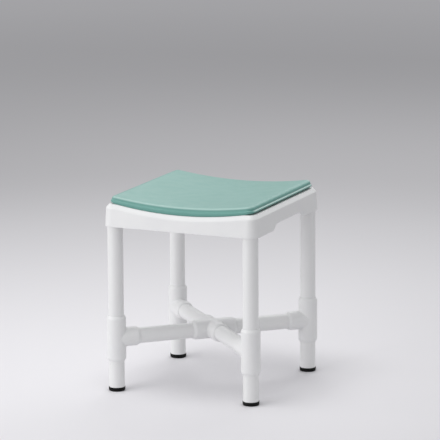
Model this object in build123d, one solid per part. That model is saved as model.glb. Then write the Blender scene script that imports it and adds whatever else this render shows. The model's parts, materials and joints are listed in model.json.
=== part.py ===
from build123d import *
import math
import os

# Shower stool. A frame of plastic pipe and moulded pipe fittings carries a moulded seat
# frame, and a dished foam pad on a carrier plate lies on it and lifts off.
# Millimetres, +Z up, front towards -Y, origin on the floor under the middle of the seat.

# Pipe, and the fit of pipe in its sockets
pipe_radius = 20.0
pipe_wall = 3.0
socket_gap = 0.1
pipe_bore = pipe_radius - pipe_wall
socket_radius = pipe_radius + socket_gap

# Legs
leg_offset = 187.0
leg_top = 466.0
foot_height = 10.0

# Pipe fittings: tees on the legs and the cross between them
fitting_radius = 24.75
branch_radius = 24.4
fitting_arm = 59.0
fitting_height = 138.0
socket_stop = 24.0
mouth_radius = 21.9
mouth_taper = 8.5
mouth_land = 1.2
mouth_bevel = 0.6
crease_radius = 3.0

# Rubber feet
foot_radius = 21.2
foot_contact_radius = 18.5
foot_edge_height = 4.0
plug_radius = 16.3
plug_rib_radius = 16.9
plug_height = 24.0
plug_rib_heights = (6.0, 12.0, 18.0)
plug_rib_thickness = 2.0

# Seat frame
frame_half = 212.0
frame_bottom = 431.0
frame_draft = 3.5
frame_corner = 25.0
frame_wall = 4.0
deck_low = 472.4
deck_dish_radius = 1000.0
deck_side_height = 488.0
deck_crease_radius = 60.0
shoulder_width = 8.0
shoulder_drop = 9.5
shoulder_edge_radius = 5.0
skirt_edge_radius = 1.0
arch_top = 445.7
arch_half_flat = 68.0
arch_half_width = 103.0
leg_socket_radius = 23.9
rib_thickness = 3.0
rib_offset = 62.0
rib_bottom = 456.0
drain_radius = 4.0
drain_pitch = 110.0

# Pad, its carrier plate and its locating pegs
pad_gap = 0.4
pad_half = 199.5
pad_corner = 20.0
pad_thickness = 20.6
pad_dish_radius = deck_dish_radius
pad_top_dish_radius = 1180.0
pad_rim_radius = 4.0
pad_lower_edge_radius = 1.5
plate_half = 182.0
plate_corner = 14.0
plate_thickness = 3.0
plate_gap = 0.1
peg_offset = 150.0
peg_radius = 4.75
peg_hole_radius = 5.25
peg_tenon_radius = 3.5
peg_tenon_length = 2.0
peg_tip = 467.0
peg_tip_bevel = 1.5

# Screws that hold the legs in the seat frame
screw_height = 447.0
screw_radius = 2.0
screw_hole_radius = 2.1
screw_head_radius = 4.0
screw_head_height = 2.4
screw_tip = 15.5

corners = {
    "front_left": (-1, -1),
    "front_right": (1, -1),
    "back_left": (-1, 1),
    "back_right": (1, 1),
}
pad_low = deck_low + pad_gap

# How far cutting shapes run past the faces that they cut
margin = 1.0
overshoot = 20.0


def save(shape, node):
    """Write one sub-part under its node's name."""
    export_step(shape, f"parts/{node}.step")


def at_leg(corner, height):
    """Place on a leg's axis, with local +X towards the middle of the stool."""
    side_x, side_y = corner
    inward = math.degrees(math.atan2(-side_y, -side_x))
    return Pos(side_x * leg_offset, side_y * leg_offset, height) * Rot(0, 0, inward)


def along_x(shape):
    """Turn a shape that runs along +Z so that it runs along +X."""
    return Rot(0, 90, 0) * shape


def rod(radius, start, end):
    """Solid cylinder along Z between two heights."""
    return Pos(0, 0, start) * extrude(Circle(radius), end - start)


def pipe(start, end):
    """Open pipe along Z between two heights."""
    return rod(pipe_radius, start, end) - rod(pipe_bore, start - margin, end + margin)


def dish(low, dish_radius):
    """Cylinder along Y, whose underside is a dished surface with its lowest line at low."""
    length = 2 * (frame_half + overshoot)
    return Pos(0, 0, low + dish_radius) * Rot(90, 0, 0) * Cylinder(dish_radius, length)


# Fittings, feet and screws


def fitting_arm_body(radius):
    """Solid arm of a fitting along +Z, narrowing in a soft curve to its mouth."""
    taper_start = fitting_arm - mouth_taper
    land_start = fitting_arm - mouth_land
    root = Line((0, 0), (radius, 0))
    wall = Line(root @ 1, (radius, taper_start))
    curve = Spline(wall @ 1, (mouth_radius, land_start), tangents=[(0, 1), (-0.45, 1)])
    land = Line(curve @ 1, (mouth_radius - mouth_bevel, fitting_arm))
    end = Line(land @ 1, (0, fitting_arm))
    axis = Line(end @ 1, (0, 0))
    profile = make_face([root, wall, curve, land, end, axis])
    return revolve(Plane.XZ * profile, Axis.Z)


def fitting_arm_bore():
    """Inside of a fitting's arm along +Z: a bore like the pipe's, then a socket to the mouth."""
    return rod(pipe_bore, 0, fitting_arm) + rod(socket_radius, socket_stop, fitting_arm + margin)


def tee_fitting():
    """Tee with its run along Z and its branch along +X."""
    run = fitting_arm_body(fitting_radius)
    body = run + Rot(180, 0, 0) * run + along_x(fitting_arm_body(branch_radius))
    creases = body.edges().filter_by(GeomType.BSPLINE).filter_by(lambda e: e.length > fitting_arm)
    body = fillet(creases, crease_radius)
    bore = fitting_arm_bore()
    return body - bore - Rot(180, 0, 0) * bore - along_x(bore)


def cross_fitting():
    """Four-way cross with its arms along X and Y."""
    turns = [Rot(0, 0, 90 * i) for i in range(4)]
    body = Part() + [turn * along_x(fitting_arm_body(fitting_radius)) for turn in turns]
    body = fillet(body.edges().filter_by(GeomType.ELLIPSE), crease_radius)
    for turn in turns:
        body -= turn * along_x(fitting_arm_bore())
    return body


def rubber_foot():
    """Rubber foot with a rounded lower edge and a ribbed plug that sits inside the pipe."""
    base = Line((0, 0), (foot_contact_radius, 0))
    edge = Spline(
        base @ 1, (foot_radius, foot_edge_height), tangents=[(1, 0.35), (0, 1)]
    )
    side = Line(edge @ 1, (foot_radius, foot_height))
    top = Line(side @ 1, (0, foot_height))
    axis = Line(top @ 1, (0, 0))
    body = revolve(Plane.XZ * make_face([base, edge, side, top, axis]), Axis.Z)
    rim = body.edges().filter_by(GeomType.CIRCLE).sort_by(Axis.Z)[-1]
    body = fillet(rim, mouth_bevel)
    body += rod(plug_radius, foot_height, foot_height + plug_height)
    for rib in plug_rib_heights:
        low = foot_height + rib
        body += rod(plug_rib_radius, low, low + plug_rib_thickness)
    return body


def leg_screw():
    """Pan-head screw along -X, its head's underside against the leg socket's outer wall."""
    shank = rod(screw_radius, screw_tip, leg_socket_radius)
    head = rod(screw_head_radius, leg_socket_radius, leg_socket_radius + screw_head_height)
    head = fillet(head.edges().sort_by(Axis.Z)[-1], screw_head_height / 2)
    return along_x(shank + head)


def leg_screw_hole():
    """Hole for a leg screw through the leg socket's wall and one side of the leg."""
    return along_x(rod(screw_hole_radius, pipe_bore - margin, leg_socket_radius + margin))


# Seat frame


def frame_block(inset):
    """The seat frame's outer shape, or its hollow when inset by the wall's thickness."""
    side = 2 * (frame_half - inset)
    plan = RectangleRounded(side, side, frame_corner - inset)
    height = deck_side_height - inset - frame_bottom
    block = Pos(0, 0, frame_bottom) * extrude(plan, height, taper=frame_draft)
    block -= dish(deck_low - inset, deck_dish_radius + inset)
    top_lines = block.edges().filter_by(Axis.Y).group_by(Axis.Z)[-1]
    creases = [line for line in top_lines if abs(line.center().X) < frame_half - frame_corner]
    block = fillet(creases, deck_crease_radius)
    return chamfer(top_outline(block), shoulder_drop, shoulder_width)


def top_outline(block):
    """Closed line round the deck of a frame block, before it has its shoulder."""
    return [
        edge
        for edge in block.edges()
        if edge.center().Z > deck_low - frame_wall - margin
        and max(abs(edge.center().X), abs(edge.center().Y)) > leg_offset
        and edge.bounding_box().size.Z < shoulder_drop * 2
    ]


def soften_shoulder(block):
    """Round the two long edges of the shoulder."""
    shoulder_low = deck_low - 2 * shoulder_drop
    lines = [
        edge
        for edge in block.edges()
        if edge.length > shoulder_width * 2 and edge.center().Z > shoulder_low
    ]
    return fillet(lines, shoulder_edge_radius)


def arch_cutter():
    """Prism along X that opens the arch in both side skirts."""
    low = frame_bottom - overshoot
    rise = Spline(
        (-arch_half_width, frame_bottom), (-arch_half_flat, arch_top), tangents=[(1, 0), (1, 0)]
    )
    flat = Line(rise @ 1, (arch_half_flat, arch_top))
    fall = Spline(flat @ 1, (arch_half_width, frame_bottom), tangents=[(1, 0), (1, 0)])
    below = Polyline(fall @ 1, (arch_half_width, low), (-arch_half_width, low), rise @ 0)
    outline = Plane.YZ * make_face([rise, flat, fall, below])
    return extrude(outline, frame_half + overshoot, both=True)


def soften_skirt(block):
    """Round the skirt's lower outer edge, round the arches too."""
    reach = frame_half - frame_wall
    lines = [
        edge
        for edge in block.edges()
        if edge.bounding_box().max.Z < arch_top + margin
        and max(abs(edge.center().X), abs(edge.center().Y)) > reach - frame_corner / 2
        and not edge_crosses_under(edge)
    ]
    return fillet(lines, skirt_edge_radius)


def edge_crosses_under(edge):
    """True for an edge of the arch cut that runs from one side skirt to the other."""
    box = edge.bounding_box()
    return box.max.X - box.min.X > frame_half and box.max.Y - box.min.Y < margin


def ribs():
    """Stiffening ribs under the deck, two each way."""
    length = 2 * frame_half
    height = deck_low - rib_bottom + overshoot
    shapes = Part()
    for side in (-1, 1):
        shapes += Pos(side * rib_offset, 0, rib_bottom + height / 2) * Box(
            rib_thickness, length, height
        )
        shapes += Pos(0, side * rib_offset, rib_bottom + height / 2) * Box(
            length, rib_thickness, height
        )
    return shapes


def seat_frame():
    """Moulded shell with a dished deck, leg sockets, ribs, drain holes and peg holes."""
    body = soften_shoulder(frame_block(0))
    body = soften_skirt(body - arch_cutter())
    hollow = frame_block(frame_wall) - ribs()
    for corner in corners.values():
        hollow -= at_leg(corner, 0) * rod(leg_socket_radius, frame_bottom, leg_top + overshoot)
    body -= hollow
    for corner in corners.values():
        body -= at_leg(corner, 0) * rod(socket_radius, frame_bottom - margin, leg_top)
        body -= at_leg(corner, screw_height) * leg_screw_hole()
        body -= at_peg(corner) * rod(peg_hole_radius, rib_bottom, deck_low + overshoot)
    for step in (-1, 0, 1):
        body -= Pos(0, step * drain_pitch) * rod(drain_radius, rib_bottom, deck_low + overshoot)
    return body


# Pad, carrier plate and pegs


def dished_slab(half_side, corner_radius, low_dish, top_dish):
    """Rounded square slab between two dished surfaces, each given as (low, radius)."""
    plan = RectangleRounded(2 * half_side, 2 * half_side, corner_radius)
    height = deck_side_height + 2 * overshoot - frame_bottom
    block = Pos(0, 0, frame_bottom) * extrude(plan, height)
    return (block & dish(*low_dish)) - dish(*top_dish)


def dish_layer(half_side, corner_radius, low, high):
    """Rounded square slab between two levels above the pad's dished underside."""
    low_dish = (pad_low + low, pad_dish_radius - low)
    top_dish = (pad_low + high, pad_dish_radius - high)
    return dished_slab(half_side, corner_radius, low_dish, top_dish)


def seat_pad():
    """Dished foam pad with a rounded rim and a recess for the carrier plate underneath."""
    low_dish = (pad_low, pad_dish_radius)
    top_dish = (pad_low + pad_thickness, pad_top_dish_radius)
    pad = dished_slab(pad_half, pad_corner, low_dish, top_dish)
    faces = pad.faces().filter_by(GeomType.CYLINDER).sort_by(SortBy.AREA)[-2:].sort_by(Axis.Z)
    pad = fillet(faces[-1].edges(), pad_rim_radius)
    faces = pad.faces().filter_by(GeomType.CYLINDER).sort_by(SortBy.AREA)[-2:].sort_by(Axis.Z)
    pad = fillet(faces[0].edges(), pad_lower_edge_radius)
    recess_half = plate_half + plate_gap
    recess_top = plate_thickness + plate_gap
    return pad - dish_layer(recess_half, plate_corner + plate_gap, -margin, recess_top)


def at_peg(corner):
    """Place on a peg's axis, at the height of the floor."""
    return Pos(corner[0] * peg_offset, corner[1] * peg_offset)


def pad_base_plate():
    """Carrier plate, flush with the pad's underside, with a blind socket for each peg's tenon."""
    plate = dish_layer(plate_half, plate_corner, 0, plate_thickness)
    sockets = dish_layer(plate_half, plate_corner, -margin, peg_tenon_length + plate_gap)
    bore = rod(peg_tenon_radius + plate_gap, frame_bottom, deck_low + 2 * overshoot)
    for corner in corners.values():
        plate -= at_peg(corner) * bore & sockets
    return plate


def locating_peg(corner):
    """Peg with a tenon in the carrier plate and a shank in its hole in the deck."""
    top = deck_low + 2 * overshoot
    below_plate = dish(pad_low, pad_dish_radius)
    socket_depth = dish_layer(plate_half, plate_corner, 0, peg_tenon_length)
    tenon = rod(peg_tenon_radius, frame_bottom, top)
    shank = rod(peg_radius, peg_tip, top)
    shank = chamfer(shank.edges().sort_by(Axis.Z)[0], peg_tip_bevel)
    return (at_peg(corner) * tenon & socket_depth) + (at_peg(corner) * shank - below_plate)


# The pieces


def make_legs():
    """Each leg's pipes, tee, foot and screw, and the brace from its tee to the cross."""
    brace_reach = leg_offset * math.sqrt(2)
    upper = pipe(fitting_height + socket_stop, leg_top)
    lower = pipe(foot_height, fitting_height - socket_stop)
    brace = along_x(pipe(socket_stop, brace_reach - socket_stop))
    screws = []
    for name, corner in corners.items():
        hole = at_leg(corner, screw_height) * leg_screw_hole()
        save(at_leg(corner, 0) * upper - hole, f"leg_upper_{name}")
        save(at_leg(corner, 0) * lower, f"leg_lower_{name}")
        save(at_leg(corner, fitting_height) * tee_fitting(), f"tee_{name}")
        save(at_leg(corner, fitting_height) * brace, f"brace_{name}")
        save(at_leg(corner, 0) * rubber_foot(), f"foot_{name}")
        screws.append(at_leg(corner, screw_height) * leg_screw())
    save(Compound(children=screws), "leg_screws")


os.makedirs("parts", exist_ok=True)
make_legs()
save(Pos(0, 0, fitting_height) * Rot(0, 0, 45) * cross_fitting(), "cross_fitting")
save(seat_frame(), "seat_frame")
save(seat_pad(), "seat_pad")
save(pad_base_plate(), "pad_base_plate")
save(Compound(children=[locating_peg(corner) for corner in corners.values()]), "pad_pegs")
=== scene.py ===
import json
import math

import bmesh
import bpy
from mathutils import Matrix, Vector


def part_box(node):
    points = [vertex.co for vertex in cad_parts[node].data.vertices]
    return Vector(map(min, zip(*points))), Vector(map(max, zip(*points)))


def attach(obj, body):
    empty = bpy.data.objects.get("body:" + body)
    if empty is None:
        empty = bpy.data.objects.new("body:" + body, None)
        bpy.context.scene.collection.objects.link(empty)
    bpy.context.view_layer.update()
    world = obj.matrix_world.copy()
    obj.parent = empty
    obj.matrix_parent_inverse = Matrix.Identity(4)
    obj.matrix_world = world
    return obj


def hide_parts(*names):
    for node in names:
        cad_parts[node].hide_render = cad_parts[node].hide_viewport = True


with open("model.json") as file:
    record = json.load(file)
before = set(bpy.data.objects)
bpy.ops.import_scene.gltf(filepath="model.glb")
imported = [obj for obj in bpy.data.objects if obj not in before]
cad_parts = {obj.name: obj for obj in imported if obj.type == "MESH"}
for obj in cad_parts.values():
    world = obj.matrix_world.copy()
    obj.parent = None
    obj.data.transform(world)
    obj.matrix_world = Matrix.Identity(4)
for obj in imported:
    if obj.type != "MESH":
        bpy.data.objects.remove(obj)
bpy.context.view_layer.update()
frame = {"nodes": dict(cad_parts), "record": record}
mm = 0.001

# Camera: the direction it looks from and its roll, in degrees, its distance from the point
# that it looks at and how far it sees, in metres, and its lens and sensor, in millimetres
azimuth = 24.108
elevation = 11.752
roll = -0.337
distance = 7.856
look_at = Vector((0.0175, 0.0078, 0.4235))
camera_reach = 100
lens = 250.5
sensor = 36.0

# Pad, in metres. The top is dished less than the underside, so the pad is thickest along its
# middle line, and the crown lifts the top a little, away from its edges.
pad_corner = 20 * mm
pad_thickness = 20.6 * mm
under_dish_radius = 1.000
top_dish_radius = 1.180
crown_height = 0.5 * mm
crown_power = 4

# Recess for the carrier plate in the pad's underside
plate_corner = 14 * mm
plate_thickness = 3 * mm
plate_gap = 0.1 * mm

# Section of the pad's edge, in millimetres, as (distance in from the side, level) pairs: the
# round of its lower edge, with levels above the underside, and the ledge half way up, with
# levels above the ledge's own middle
lower_edge = [(2.0, 0.0), (1.0, 0.2), (0.35, 0.7), (0.0, 1.6)]
ledge = [(0.0, -2.3), (0.15, -1.5), (0.6, -0.9), (1.5, -0.2), (2.6, 0.6), (3.2, 1.4), (3.4, 2.4)]

# Depth of the ledge's middle below the top, and height and width of the round rim above it, in
# millimetres: each at the front and back, and at the sides
ledge_depth = (10.1, 12.4)
rim_height = (5.0, 9.4)
rim_width = (5.0, 14.0)

# Steps of the pad's mesh: along each side, round each corner and up the rim, and rings between
# the middle and the edge, on the top and in the recess
side_steps = 30
corner_steps = 14
rim_steps = 10
top_rings = 34
recess_rings = 10

# Painted highlight: a paler line along the rim at the front and back and along the ledge at the
# sides: the vertex attribute that holds it, its strengths, and the power that ends the ledge's
# part at the corners
painted_highlight_line = "painted_highlight_line"
rim_highlight = 0.6
ledge_highlight = 0.7
ledge_highlight_power = 4

# Pairs of tones that each material is mottled with, and the pad's painted highlight colour
white = (0.80, 0.80, 0.80)
frame_tones = (white, (0.78, 0.78, 0.785))
pipe_tones = (white, (0.79, 0.79, 0.79))
fitting_tones = (white, (0.785, 0.785, 0.79))
pad_tones = ((0.150, 0.350, 0.310), (0.136, 0.332, 0.290))
pad_highlight = (0.56, 0.72, 0.68)
rubber_tones = ((0.002, 0.002, 0.002), (0.006, 0.006, 0.006))
carrier_tones = ((0.10, 0.11, 0.11), (0.12, 0.13, 0.13))
steel_tones = ((0.50, 0.50, 0.51), (0.62, 0.62, 0.62))

# Span that most values of a noise are in
noise_span = (0.3, 0.7)

# Painted light on the floor: its tone at each distance from its brightest place, as (metres, tone)
# pairs
floor_radius = 40.0
floor_segments = 96
painted_light_centre = (-0.2, 0.0, 0.0)
floor_tint = (1.0, 0.985, 1.015)
floor_painted_light_tones = (
    (0.0, 0.83),
    (1.0, 0.73),
    (2.0, 0.57),
    (2.8, 0.46),
    (4.5, 0.50),
    (7.0, 0.60),
    (12.0, 0.80),
    (25.0, 0.98),
)

# Light: the even light from all round, and the softboxes as (name, azimuth and elevation in
# degrees, distance and size in metres, power in watts), aimed at the middle of the stool
world_light = 0.576
world_tint = (0.98, 0.99, 1.0)
aim = Vector((0, 0, 0.3))
lights = (
    ("low_left", -65, 14, 4.0, 2.4, 25),
    ("front_left", -30, 15, 4.0, 2.4, 41),
    ("top", -25, 80, 3.5, 1.6, 38),
    ("behind", 190, 40, 4.0, 3.0, 36),
)


def add_object(name, data):
    """New object in the scene, from a mesh, camera or light."""
    added = bpy.data.objects.new(name, data)
    bpy.context.scene.collection.objects.link(added)
    return added


# Shader nodes


def new_material(name):
    """New material, with its node tree and its Principled shader."""
    material = bpy.data.materials.new(name)
    material.use_nodes = True
    return material, material.node_tree, material.node_tree.nodes["Principled BSDF"]


def noise_texture(tree, scale, detail, roughness=0.5):
    """Value of a noise over the object's own coordinates, with scale in cells per metre."""
    place = tree.nodes.new("ShaderNodeTexCoord").outputs["Object"]
    texture = tree.nodes.new("ShaderNodeTexNoise")
    texture.inputs["Scale"].default_value = scale
    texture.inputs["Detail"].default_value = detail
    texture.inputs["Roughness"].default_value = roughness
    tree.links.new(place, texture.inputs["Vector"])
    return texture.outputs["Fac"]


def cell_texture(tree, scale):
    """Smooth distance from the centres of small cells, with scale in cells per metre."""
    place = tree.nodes.new("ShaderNodeTexCoord").outputs["Object"]
    texture = tree.nodes.new("ShaderNodeTexVoronoi")
    texture.feature = "SMOOTH_F1"
    texture.inputs["Scale"].default_value = scale
    tree.links.new(place, texture.inputs["Vector"])
    return texture.outputs["Distance"]


def ramp(tree, value, span, target=(0, 1)):
    """Maps a value from the ends of span to the ends of target, and holds it between them."""
    node = tree.nodes.new("ShaderNodeMapRange")
    node.inputs["From Min"].default_value, node.inputs["From Max"].default_value = span
    node.inputs["To Min"].default_value, node.inputs["To Max"].default_value = target
    tree.links.new(value, node.inputs["Value"])
    return node.outputs["Result"]


def colour_mix(tree, share):
    """Mix of two colours, A and B, by a share of B from 0 to 1."""
    mix = tree.nodes.new("ShaderNodeMix")
    mix.data_type = "RGBA"
    tree.links.new(share, mix.inputs["Factor"])
    return mix


def mottle(tree, value, tones, span=noise_span):
    """Colour that goes from one tone to the other as a value crosses span."""
    mix = colour_mix(tree, ramp(tree, value, span))
    mix.inputs["A"].default_value = (*tones[0], 1)
    mix.inputs["B"].default_value = (*tones[1], 1)
    return mix.outputs["Result"]


def add_roughness(tree, shader, value, levels):
    """Roughness that goes from one level to the other with a noise's value."""
    tree.links.new(ramp(tree, value, noise_span, levels), shader.inputs["Roughness"])


def add_bump(tree, shader, heights):
    """Chains bumps, each a (height value, depth in metres) pair, into the shader's normal."""
    normal = None
    for height, depth in heights:
        bump = tree.nodes.new("ShaderNodeBump")
        bump.inputs["Strength"].default_value = 1.0
        bump.inputs["Distance"].default_value = depth
        tree.links.new(height, bump.inputs["Height"])
        if normal:
            tree.links.new(normal, bump.inputs["Normal"])
        normal = bump.outputs["Normal"]
    tree.links.new(normal, shader.inputs["Normal"])


# Materials


def white_plastic(name, tones, roughness, grain_scale, grain_depth):
    """Moulded or extruded white plastic: faint mottling, uneven gloss and a fine surface grain."""
    material, tree, shader = new_material(name)
    cloud = noise_texture(tree, scale=14, detail=4)
    tree.links.new(mottle(tree, cloud, tones, span=(0.35, 0.65)), shader.inputs["Base Color"])
    scuff = noise_texture(tree, scale=60, detail=6, roughness=0.65)
    add_roughness(tree, shader, scuff, levels=(roughness - 0.03, roughness + 0.04))
    shader.inputs["IOR"].default_value = 1.5
    broad = noise_texture(tree, scale=90, detail=1)
    fine = noise_texture(tree, grain_scale, detail=3)
    add_bump(tree, shader, [(broad, grain_depth * 2), (fine, grain_depth)])
    return material


def pad_skin():
    """Teal moulded foam skin: fine grain, faint mottling, soft gloss and a painted highlight line.
    """
    material, tree, shader = new_material("pad_skin_teal_painted_highlight")
    cloud = noise_texture(tree, scale=9, detail=5, roughness=0.6)
    # Painted highlight: the colour goes paler along the line that the vertex attribute holds
    edge = tree.nodes.new("ShaderNodeAttribute")
    edge.attribute_name = painted_highlight_line
    highlight = colour_mix(tree, edge.outputs["Fac"])
    tree.links.new(mottle(tree, cloud, pad_tones), highlight.inputs["A"])
    highlight.inputs["B"].default_value = (*pad_highlight, 1)
    tree.links.new(highlight.outputs["Result"], shader.inputs["Base Color"])
    rubbed = noise_texture(tree, scale=35, detail=5)
    add_roughness(tree, shader, rubbed, levels=(0.3, 0.36))
    shader.inputs["Specular IOR Level"].default_value = 0.35
    broad = noise_texture(tree, scale=45, detail=2)
    cells = cell_texture(tree, scale=620)
    fine = noise_texture(tree, scale=2400, detail=2)
    add_bump(tree, shader, [(broad, 0.1 * mm), (cells, 0.035 * mm), (fine, 0.01 * mm)])
    return material


def black_rubber():
    """Black foot rubber: a fine speckle of dust and a dull, uneven gloss."""
    material, tree, shader = new_material("foot_rubber_black")
    dust = noise_texture(tree, scale=220, detail=4)
    tree.links.new(mottle(tree, dust, rubber_tones, span=(0.45, 0.8)), shader.inputs["Base Color"])
    add_roughness(tree, shader, dust, levels=(0.5, 0.7))
    shader.inputs["Specular IOR Level"].default_value = 0.18
    add_bump(tree, shader, [(noise_texture(tree, scale=1500, detail=2), 0.05 * mm)])
    return material


def carrier_plastic():
    """Grey moulded plastic of the carrier plate and its pegs."""
    material, tree, shader = new_material("carrier_plastic_grey")
    cloud = noise_texture(tree, scale=20, detail=4)
    tree.links.new(mottle(tree, cloud, carrier_tones), shader.inputs["Base Color"])
    add_roughness(tree, shader, cloud, levels=(0.5, 0.62))
    add_bump(tree, shader, [(noise_texture(tree, scale=900, detail=3), 0.04 * mm)])
    return material


def screw_steel():
    """Stainless steel of the screws, with a fine uneven polish."""
    material, tree, shader = new_material("screw_steel")
    marks = noise_texture(tree, scale=800, detail=3)
    tree.links.new(mottle(tree, marks, steel_tones), shader.inputs["Base Color"])
    shader.inputs["Metallic"].default_value = 1.0
    add_roughness(tree, shader, marks, levels=(0.25, 0.38))
    add_bump(tree, shader, [(marks, 0.02 * mm)])
    return material


def paint_nodes():
    """Gives every CAD node the material of its slot, and returns the materials by slot."""
    by_slot = {
        "frame_plastic": white_plastic(
            "seat_frame_white", frame_tones, roughness=0.38, grain_scale=1400, grain_depth=0.03 * mm
        ),
        "pipe_plastic": white_plastic(
            "pipe_white", pipe_tones, roughness=0.3, grain_scale=700, grain_depth=0.012 * mm
        ),
        "fitting_plastic": white_plastic(
            "fitting_white", fitting_tones, roughness=0.34, grain_scale=1000, grain_depth=0.02 * mm
        ),
        "pad_skin": pad_skin(),
        "carrier_plastic": carrier_plastic(),
        "foot_rubber": black_rubber(),
        "screw_steel": screw_steel(),
    }
    for part in frame["record"]["subparts"]:
        node = frame["nodes"][part["node"]]
        node.data.materials.clear()
        node.data.materials.append(by_slot[part["material_slot"]])
    return by_slot


# Pad


def rounded_square(half, radius):
    """Points round a square with rounded corners, each with its outward normal."""
    points = []
    straight = half - radius
    for quarter in range(4):
        turn = Matrix.Rotation(math.radians(90 * quarter), 2)
        outward = turn @ Vector((1, 0))
        for i in range(side_steps):
            place = turn @ Vector((half, straight * (2 * i / side_steps - 1)))
            points.append((place, outward))
        for i in range(corner_steps):
            angle = math.radians(90 * i / corner_steps)
            normal = turn @ Vector((math.cos(angle), math.sin(angle)))
            points.append((turn @ Vector((straight, straight)) + normal * radius, normal))
    return points


def dish_height(x, low, radius):
    """Height of a dished surface at a distance from its lowest line."""
    return low + radius - math.sqrt(radius**2 - x**2)


def crown_share(reach):
    """Share of the crown that is left at a reach from 0 in the pad's middle to 1 at its edge."""
    return 1 - reach**crown_power


def between(pair, share):
    """Value between the two of a pair."""
    return pair[0] + (pair[1] - pair[0]) * share


def upper_section(sideways):
    """Edge from the ledge up over the rim, as (distance in, depth below the top, painted highlight)
    points.

    Distances are in millimetres. sideways is 0 at the front and back and 1 at the sides."""
    depth = between(ledge_depth, sideways)
    height = between(rim_height, sideways)
    width = between(rim_width, sideways)
    section = []
    for i, (inset, level) in enumerate(ledge):
        # Painted highlight along the ledge, at the sides only, strongest at the ledge's middle
        bump = math.sin(math.pi * i / (len(ledge) - 1))
        section.append((inset, depth - level, ledge_highlight * sideways**ledge_highlight_power * bump))
    wall = ledge[-1][0]
    for i in range(rim_steps + 1):
        angle = math.radians(90 * i / rim_steps)
        # Painted highlight along the rim, at the front and back only, strongest half way round it
        bump = math.sin(math.pi * i / rim_steps)
        inset = wall + width * (1 - math.cos(angle))
        section.append((inset, height * (1 - math.sin(angle)), rim_highlight * (1 - sideways) * bump))
    return section


def build_pad():
    """The foam pad: dished, with a rounded lower edge, a ledge above it and a round rim."""
    low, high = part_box("seat_pad")
    plate_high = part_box("pad_base_plate")[1]

    def under(place, rise=0.0):
        level = dish_height(place.x, low.z, under_dish_radius)
        return Vector((place.x, place.y, level + rise))

    def over(place, drop=0.0):
        level = dish_height(place.x, low.z + pad_thickness, top_dish_radius)
        crown = crown_height * crown_share(place.x / high.x) * crown_share(place.y / high.y)
        return Vector((place.x, place.y, level + crown - drop))

    # From the middle of the recess out and down to the underside
    rings = []
    recess = rounded_square(plate_high.x + plate_gap, plate_corner + plate_gap)
    recess_depth = plate_thickness + plate_gap
    for i in range(1, recess_rings + 1):
        rings.append([under(place * i / recess_rings, recess_depth) for place, _ in recess])
    rings.append([under(place) for place, _ in recess])

    # Round the lower edge, up the side and over the rim
    outline = rounded_square(high.x, pad_corner)
    for inset, rise in lower_edge:
        rings.append([under(place - normal * inset * mm, rise * mm) for place, normal in outline])
    sections = [upper_section(normal.x**2) for _, normal in outline]
    first_highlight = len(rings) * len(outline)
    highlights = []
    for points in zip(*sections):
        ring = []
        for (place, normal), (inset, drop, highlight) in zip(outline, points):
            ring.append(over(place - normal * inset * mm, drop * mm))
            highlights.append(highlight)
        rings.append(ring)

    # Over the top, in to the middle
    innermost = [section[-1][0] for section in sections]
    inner = [place - normal * inset * mm for (place, normal), inset in zip(outline, innermost)]
    for i in range(1, top_rings + 1):
        rings.append([over(place * (1 - i / (top_rings + 1))) for place in inner])

    # The mesh numbers its vertices ring by ring, as the painted highlight is listed
    foam = mesh_from_rings("seat_pad_foam", rings)
    # Painted highlight: each vertex's share of the paler line, kept as a vertex attribute
    attribute = foam.data.attributes.new(painted_highlight_line, "FLOAT", "POINT")
    for i, highlight in enumerate(highlights):
        attribute.data[first_highlight + i].value = highlight
    return foam


def mesh_from_rings(name, rings):
    """Closed mesh through a row of rings with the same number of points, capped at both ends."""
    work = bmesh.new()
    loops = [[work.verts.new(p) for p in ring] for ring in rings]
    count = len(loops[0])
    for first, second in zip(loops, loops[1:]):
        for i in range(count):
            j = (i + 1) % count
            work.faces.new((first[i], first[j], second[j], second[i]))
    for ring, flip in ((loops[0], True), (loops[-1], False)):
        centre = work.verts.new(sum((v.co for v in ring), Vector()) / count)
        for i in range(count):
            j = (i + 1) % count
            work.faces.new((ring[j], ring[i], centre) if flip else (ring[i], ring[j], centre))
    bmesh.ops.recalc_face_normals(work, faces=work.faces)
    for face in work.faces:
        face.smooth = True
    mesh = bpy.data.meshes.new(name)
    work.to_mesh(mesh)
    work.free()
    return add_object(name, mesh)


# Camera, lights and floor


def direction(azimuth_degrees, elevation_degrees):
    """Unit vector from the stool towards a place round it, by azimuth and elevation."""
    a = math.radians(azimuth_degrees)
    e = math.radians(elevation_degrees)
    return Vector((math.sin(a) * math.cos(e), -math.cos(a) * math.cos(e), math.sin(e)))


def make_camera():
    """Camera in its direction and at its distance, level but for its roll."""
    back = direction(azimuth, elevation)
    right = Vector((0, 0, 1)).cross(back).normalized()
    up = back.cross(right)
    turn = Matrix.Rotation(math.radians(roll), 3, back)
    basis = Matrix((turn @ right, turn @ up, back)).transposed().to_4x4()
    data = bpy.data.cameras.new("camera")
    data.lens = lens
    data.sensor_width = sensor
    data.clip_end = camera_reach
    camera = add_object("camera", data)
    camera.matrix_world = Matrix.Translation(look_at + back * distance) @ basis
    bpy.context.scene.camera = camera


def area_light(name, azimuth_degrees, elevation_degrees, far, size, power):
    """Square softbox round the stool, aimed at the middle of it."""
    data = bpy.data.lights.new(name, "AREA")
    data.size = size
    data.energy = power
    lamp = add_object(name, data)
    lamp.location = aim + direction(azimuth_degrees, elevation_degrees) * far
    lamp.rotation_mode = "QUATERNION"
    lamp.rotation_quaternion = (aim - lamp.location).to_track_quat("-Z", "Y")


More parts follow.
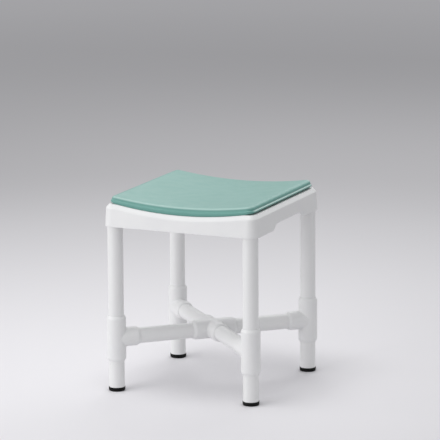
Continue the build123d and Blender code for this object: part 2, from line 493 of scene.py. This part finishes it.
def see_from_below(tree, shader):
    """Makes a surface clear from its back, so that the stool's underside can be looked at."""
    clear = tree.nodes.new("ShaderNodeBsdfTransparent")
    side = tree.nodes.new("ShaderNodeNewGeometry")
    mix = tree.nodes.new("ShaderNodeMixShader")
    share, front, back = mix.inputs
    tree.links.new(side.outputs["Backfacing"], share)
    tree.links.new(shader.outputs["BSDF"], front)
    tree.links.new(clear.outputs["BSDF"], back)
    tree.links.new(mix.outputs["Shader"], tree.nodes["Material Output"].inputs["Surface"])


def painted_light_floor_material():
    """Matt pale material with painted light: its tone changes with the distance from the brightest
    place.
    """
    material, tree, shader = new_material("floor_pale_painted_light")
    place = tree.nodes.new("ShaderNodeTexCoord").outputs["Object"]
    length = tree.nodes.new("ShaderNodeVectorMath")
    length.operation = "DISTANCE"
    length.inputs[1].default_value = painted_light_centre
    tree.links.new(place, length.inputs[0])
    furthest = floor_painted_light_tones[-1][0]
    # Painted light and shade: the tone follows the distance from the brightest place
    share = ramp(tree, length.outputs["Value"], (0, furthest))
    colours = tree.nodes.new("ShaderNodeValToRGB")
    colours.color_ramp.interpolation = "B_SPLINE"
    stops = colours.color_ramp.elements
    # New stops start half way, past all but the last of the places that they move to, so that
    # they stay in order
    while len(stops) < len(floor_painted_light_tones):
        stops.new(0.5)
    for stop, (reach, tone) in zip(stops, floor_painted_light_tones):
        stop.position = reach / furthest
        stop.color = (*(tone * tint for tint in floor_tint), 1)
    tree.links.new(share, colours.inputs["Fac"])
    tree.links.new(colours.outputs["Color"], shader.inputs["Base Color"])
    shader.inputs["Roughness"].default_value = 0.9
    shader.inputs["Specular IOR Level"].default_value = 0.0
    see_from_below(tree, shader)
    return material


def make_floor():
    """Round pale floor under the stool, wide enough to fill the view."""
    work = bmesh.new()
    bmesh.ops.create_circle(work, cap_ends=True, segments=floor_segments, radius=floor_radius)
    mesh = bpy.data.meshes.new("floor")
    work.to_mesh(mesh)
    work.free()
    mesh.materials.append(painted_light_floor_material())
    floor = add_object("floor", mesh)


def make_studio():
    """World light, softboxes and floor."""
    world = bpy.data.worlds.new("world")
    bpy.context.scene.world = world
    world.use_nodes = True
    background = world.node_tree.nodes["Background"]
    background.inputs["Color"].default_value = (*world_tint, 1)
    background.inputs["Strength"].default_value = world_light
    for light in lights:
        area_light(*light)
    make_floor()
    bpy.context.scene.view_settings.view_transform = "Standard"


finishes = paint_nodes()
pad = build_pad()
pad.data.materials.append(finishes["pad_skin"])
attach(pad, "pad")
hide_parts("seat_pad")
make_camera()
make_studio()
